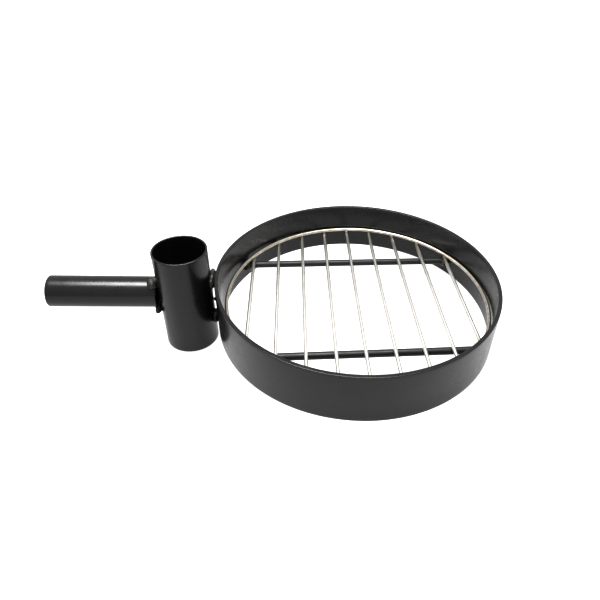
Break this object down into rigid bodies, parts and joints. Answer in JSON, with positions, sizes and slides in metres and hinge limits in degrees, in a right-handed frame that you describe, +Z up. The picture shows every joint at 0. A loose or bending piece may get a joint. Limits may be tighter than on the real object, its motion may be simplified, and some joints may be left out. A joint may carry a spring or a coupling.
{
  "type": "swing-out round grill rack",
  "caption": "Round rolled-steel band with a lift-out wire grate, welded to an open post sleeve with a tube handle on its far side.",
  "frame": {"origin": "under the middle of the whole rack's bounding box, level with the bottom face of the post sleeve", "axes": "+X runs from the handle through the sleeve to the round band, +Z runs up the post axis, +Y completes the set towards the rear"},
  "size_m": [0.475, 0.305, 0.116],
  "materials": {
    "black_paint": "semi-gloss black enamel",
    "painted_weld": "painted over, lumpy",
    "bright_wire": "satin drawn stainless wire"
  },
  "bodies": {
    "frame": {"ring_band": "black_paint", "post_sleeve": "black_paint", "handle_tube": "black_paint", "support_bar_front": "black_paint", "support_bar_rear": "black_paint", "bar_weld_front_left": "painted_weld", "bar_weld_front_right": "painted_weld", "bar_weld_rear_left": "painted_weld", "bar_weld_rear_right": "painted_weld", "sleeve_weld_top": "painted_weld", "sleeve_weld_middle": "painted_weld", "sleeve_weld_bottom": "painted_weld", "handle_weld_top": "painted_weld", "handle_weld_bottom": "painted_weld"},
    "grate": {"grate_rim": "bright_wire", "grate_rod_1": "bright_wire", "grate_rod_2": "bright_wire", "grate_rod_3": "bright_wire", "grate_rod_4": "bright_wire", "grate_rod_5": "bright_wire", "grate_rod_6": "bright_wire", "grate_rod_7": "bright_wire", "grate_rod_8": "bright_wire", "grate_rod_9": "bright_wire"}
  },
  "joints": [
    {"name": "grate_lift", "type": "slide", "parent": "frame", "child": "grate", "axis": [0, 0, 1], "range_m": [0, 0.06]}
  ]
}
